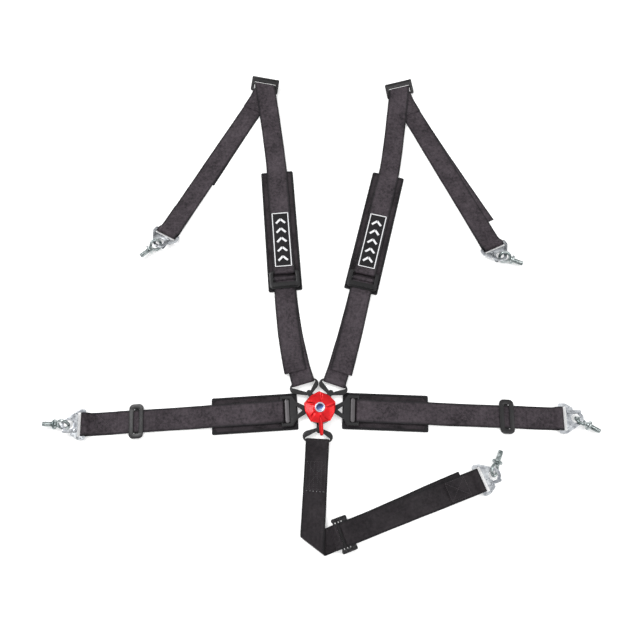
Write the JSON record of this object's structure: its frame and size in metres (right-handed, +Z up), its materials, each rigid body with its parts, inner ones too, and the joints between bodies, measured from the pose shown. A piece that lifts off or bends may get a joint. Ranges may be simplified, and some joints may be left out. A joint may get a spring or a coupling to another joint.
{
  "type": "racing harness",
  "caption": "Strap harness laid flat: rotary cam-lock buckle, padded shoulder and lap straps, a crotch strap, snap hooks and eye bolts at the ends.",
  "frame": {"origin": "middle of the buckle's flat back face, which lies on the ground with the straps", "axes": "+Z up out of the buckle, +Y towards the shoulder ends, +X towards the right lap strap as seen from above"},
  "size_m": [1.1975, 1.1743, 0.0318],
  "materials": {
    "webbing": "ribbed polyester webbing",
    "pad_fabric": "woven nylon cover",
    "black_metal": "black e-coat",
    "red_metal": "red anodised",
    "plated_steel": "bright zinc plate",
    "spring_steel": "plain",
    "grey_metal": "satin grey",
    "badge": "silver print"
  },
  "bodies": {
    "buckle": {"buckle_base": "black_metal", "buckle_housing": "black_metal", "lever_spindle": "plated_steel", "lever_spring": "spring_steel", "housing_rivets": "plated_steel", "pin_spring": "spring_steel", "shoulder_tongue_left": "black_metal", "shoulder_tongue_right": "black_metal", "crotch_tongue": "black_metal", "lap_tongue_left": "black_metal", "lap_tongue_right": "black_metal"},
    "lever": {"buckle_lever": "red_metal", "buckle_badge": "badge"},
    "pin_carrier": {"pin_plate": "spring_steel"},
    "shoulder_left": {"shoulder_lower_strap_left": "webbing", "shoulder_adjuster_left": "black_metal", "shoulder_lock_bar_left": "black_metal", "shoulder_strap_left": "webbing", "shoulder_slide_left": "black_metal"},
    "rear_left": {"rear_strap_left": "webbing", "shoulder_tail_left": "webbing"},
    "lap_left": {"lap_strap_left": "webbing"},
    "shoulder_right": {"shoulder_lower_strap_right": "webbing", "shoulder_adjuster_right": "black_metal", "shoulder_lock_bar_right": "black_metal", "shoulder_strap_right": "webbing", "shoulder_slide_right": "black_metal"},
    "rear_right": {"rear_strap_right": "webbing", "shoulder_tail_right": "webbing"},
    "lap_right": {"lap_strap_right": "webbing"},
    "crotch_upper": {"crotch_upper_strap": "webbing"},
    "crotch_lower": {"crotch_slide": "black_metal", "crotch_lower_strap": "webbing"},
    "rear_hook_left_body": {"rear_hook_left": "plated_steel"},
    "rear_gate_left_body": {"rear_gate_left": "plated_steel"},
    "rear_eye_bolt_left_body": {"rear_eye_bolt_left": "plated_steel"},
    "rear_hook_right_body": {"rear_hook_right": "plated_steel"},
    "rear_gate_right_body": {"rear_gate_right": "plated_steel"},
    "rear_eye_bolt_right_body": {"rear_eye_bolt_right": "plated_steel"},
    "lap_hook_left_body": {"lap_hook_left": "plated_steel"},
    "lap_gate_left_body": {"lap_gate_left": "plated_steel"},
    "lap_eye_bolt_left_body": {"lap_eye_bolt_left": "plated_steel"},
    "lap_hook_right_body": {"lap_hook_right": "plated_steel"},
    "lap_gate_right_body": {"lap_gate_right": "plated_steel"},
    "lap_eye_bolt_right_body": {"lap_eye_bolt_right": "plated_steel"},
    "crotch_hook_body": {"crotch_hook": "plated_steel"},
    "crotch_gate_body": {"crotch_gate": "plated_steel"},
    "crotch_eye_bolt_body": {"crotch_eye_bolt": "plated_steel"},
    "lap_slide_left_body": {"lap_slide_left": "black_metal"},
    "lap_pad_left_body": {"lap_pad_left": "pad_fabric"},
    "shoulder_pad_left_body": {"shoulder_pad_left": "pad_fabric"},
    "lap_lock_left": {"lap_lock_bar_left": "grey_metal"},
    "lap_slide_right_body": {"lap_slide_right": "black_metal"},
    "lap_pad_right_body": {"lap_pad_right": "pad_fabric"},
    "shoulder_pad_right_body": {"shoulder_pad_right": "pad_fabric"},
    "lap_lock_right": {"lap_lock_bar_right": "grey_metal"}
  },
  "joints": [
    {"name": "lever_turn", "type": "hinge", "parent": "buckle", "child": "lever", "pos_m": [0, 0, 0.0285], "axis": [0, 0, 1], "range_deg": [0, 45], "stiffness_Nm_per_rad": 0.25, "springref_deg": -17.19},
    {"name": "pin_lift", "type": "slide", "parent": "buckle", "child": "pin_carrier", "axis": [0, 0, 1], "range_m": [0, 0.004], "deforming": ["pin_spring"]},
    {"name": "shoulder_lift_left", "type": "hinge", "parent": "buckle", "child": "shoulder_left", "pos_m": [-0.0375, 0.06, 0.0105], "axis": [0.9563, 0.2924, 0], "range_deg": [0, 60]},
    {"name": "rear_fold_left", "type": "hinge", "parent": "shoulder_left", "child": "rear_left", "pos_m": [-0.14574, 0.83906, 0.0078], "axis": [0.9781, -0.2079, 0], "range_deg": [0, 60]},
    {"name": "lap_lift_left", "type": "hinge", "parent": "buckle", "child": "lap_left", "pos_m": [-0.08283, -0.00536, 0.0105], "axis": [-0.0645, 0.9979, 0], "range_deg": [0, 60]},
    {"name": "shoulder_lift_right", "type": "hinge", "parent": "buckle", "child": "shoulder_right", "pos_m": [0.032, 0.0585, 0.0105], "axis": [0.9455, -0.3256, 0], "range_deg": [0, 60]},
    {"name": "rear_fold_right", "type": "hinge", "parent": "shoulder_right", "child": "rear_right", "pos_m": [0.20928, 0.82701, 0.0078], "axis": [0.9613, 0.2756, 0], "range_deg": [0, 60]},
    {"name": "lap_lift_right", "type": "hinge", "parent": "buckle", "child": "lap_right", "pos_m": [0.08294, -0.00319, 0.0105], "axis": [-0.0384, -0.9993, 0], "range_deg": [0, 60]},
    {"name": "crotch_lift", "type": "hinge", "parent": "buckle", "child": "crotch_upper", "pos_m": [-0.0054, -0.069, 0.0105], "axis": [-0.9987, 0.0506, 0], "range_deg": [0, 60]},
    {"name": "crotch_fold", "type": "hinge", "parent": "crotch_upper", "child": "crotch_lower", "pos_m": [0.03697, -0.26281, 0.02084], "axis": [0.3518, -0.9361, 0], "range_deg": [0, 35]},
    {"name": "rear_hook_left_tilt", "type": "hinge", "parent": "rear_left", "child": "rear_hook_left_body", "pos_m": [-0.36498, 0.42672, 0.008], "axis": [-0.8829, 0.4695, 0], "range_deg": [0, 50]},
    {"name": "rear_hook_right_tilt", "type": "hinge", "parent": "rear_right", "child": "rear_hook_right_body", "pos_m": [0.4102, 0.39219, 0.008], "axis": [-0.9078, -0.4195, 0], "range_deg": [0, 50]},
    {"name": "lap_hook_left_tilt", "type": "hinge", "parent": "lap_left", "child": "lap_hook_left_body", "pos_m": [-0.50894, -0.03291, 0.008], "axis": [-0.0645, 0.9979, 0], "range_deg": [0, 50]},
    {"name": "lap_hook_right_tilt", "type": "hinge", "parent": "lap_right", "child": "lap_hook_right_body", "pos_m": [0.51962, -0.01996, 0.008], "axis": [-0.0384, -0.9993, 0], "range_deg": [0, 50]},
    {"name": "crotch_hook_tilt", "type": "hinge", "parent": "crotch_lower", "child": "crotch_hook_body", "pos_m": [0.33299, -0.15154, 0.008], "axis": [0.3518, -0.9361, 0], "range_deg": [0, 50]},
    {"name": "rear_eye_bolt_left_swing", "type": "hinge", "parent": "rear_hook_left_body", "child": "rear_eye_bolt_left_body", "pos_m": [-0.37916, 0.40005, 0.01497], "axis": [0.1056, 0.1986, 0.9744], "range_deg": [-32, 35]},
    {"name": "rear_eye_bolt_right_swing", "type": "hinge", "parent": "rear_hook_right_body", "child": "rear_eye_bolt_right_body", "pos_m": [0.42287, 0.36477, 0.01497], "axis": [-0.0944, 0.2042, 0.9744], "range_deg": [-60, 7]},
    {"name": "lap_eye_bolt_left_swing", "type": "hinge", "parent": "lap_hook_left_body", "child": "lap_eye_bolt_left_body", "pos_m": [-0.53908, -0.03486, 0.01497], "axis": [0.2245, 0.0145, 0.9744], "range_deg": [-49, 18]},
    {"name": "lap_eye_bolt_right_swing", "type": "hinge", "parent": "lap_hook_right_body", "child": "lap_eye_bolt_right_body", "pos_m": [0.5498, -0.02112, 0.01497], "axis": [-0.2248, 0.0086, 0.9744], "range_deg": [-27, 40]},
    {"name": "crotch_eye_bolt_swing", "type": "hinge", "parent": "crotch_hook_body", "child": "crotch_eye_bolt_body", "pos_m": [0.36127, -0.14091, 0.01497], "axis": [-0.2106, -0.0791, 0.9744], "range_deg": [-59, 8]},
    {"name": "rear_gate_left_open", "type": "hinge", "parent": "rear_hook_left_body", "child": "rear_gate_left_body", "pos_m": [-0.36084, 0.40576, 0.01182], "axis": [-0.1056, -0.1986, -0.9744], "range_deg": [0, 14], "stiffness_Nm_per_rad": 0.02, "springref_deg": -17.19},
    {"name": "rear_gate_right_open", "type": "hinge", "parent": "rear_hook_right_body", "child": "rear_gate_right_body", "pos_m": [0.40489, 0.37149, 0.01182], "axis": [-0.0944, 0.2042, 0.9744], "range_deg": [0, 14], "stiffness_Nm_per_rad": 0.02, "springref_deg": -17.19},
    {"name": "lap_gate_left_open", "type": "hinge", "parent": "lap_hook_left_body", "child": "lap_gate_left_body", "pos_m": [-0.5246, -0.04745, 0.01182], "axis": [-0.2245, -0.0145, -0.9744], "range_deg": [0, 14], "stiffness_Nm_per_rad": 0.02, "springref_deg": -17.19},
    {"name": "lap_gate_right_open", "type": "hinge", "parent": "lap_hook_right_body", "child": "lap_gate_right_body", "pos_m": [0.53669, -0.00711, 0.01182], "axis": [0.2248, -0.0086, -0.9744], "range_deg": [0, 14], "stiffness_Nm_per_rad": 0.02, "springref_deg": -17.19},
    {"name": "crotch_gate_open", "type": "hinge", "parent": "crotch_hook_body", "child": "crotch_gate_body", "pos_m": [0.35325, -0.15835, 0.01182], "axis": [-0.2106, -0.0791, 0.9744], "range_deg": [0, 14], "stiffness_Nm_per_rad": 0.02, "springref_deg": -17.19},
    {"name": "lap_slide_travel_left", "type": "slide", "parent": "lap_left", "child": "lap_slide_left_body", "axis": [-0.9979, -0.0645, 0], "range_m": [-0.085, 0.01]},
    {"name": "lap_pad_travel_left", "type": "slide", "parent": "lap_left", "child": "lap_pad_left_body", "axis": [-0.9979, -0.0645, 0], "range_m": [-0.014, 0]},
    {"name": "shoulder_pad_travel_left", "type": "slide", "parent": "shoulder_left", "child": "shoulder_pad_left_body", "axis": [-0.0854, 0.9963, 0], "range_m": [0, 0.03]},
    {"name": "lap_lock_float_left", "type": "slide", "parent": "buckle", "child": "lap_lock_left", "axis": [-0.9979, -0.0645, 0], "range_m": [-0.0012, 0.0025]},
    {"name": "lap_slide_travel_right", "type": "slide", "parent": "lap_right", "child": "lap_slide_right_body", "axis": [0.9993, -0.0384, 0], "range_m": [-0.085, 0.004]},
    {"name": "lap_pad_travel_right", "type": "slide", "parent": "lap_right", "child": "lap_pad_right_body", "axis": [0.9993, -0.0384, 0], "range_m": [-0.014, 0]},
    {"name": "shoulder_pad_travel_right", "type": "slide", "parent": "shoulder_right", "child": "shoulder_pad_right_body", "axis": [0.2385, 0.9711, 0], "range_m": [0, 0.03]},
    {"name": "lap_lock_float_right", "type": "slide", "parent": "buckle", "child": "lap_lock_right", "axis": [0.9993, -0.0384, 0], "range_m": [-0.0012, 0.0025]}
  ],
  "couplings": [
    {"joint": "pin_lift", "follows": "lever_turn", "m_per_rad": 0.00509}
  ]
}
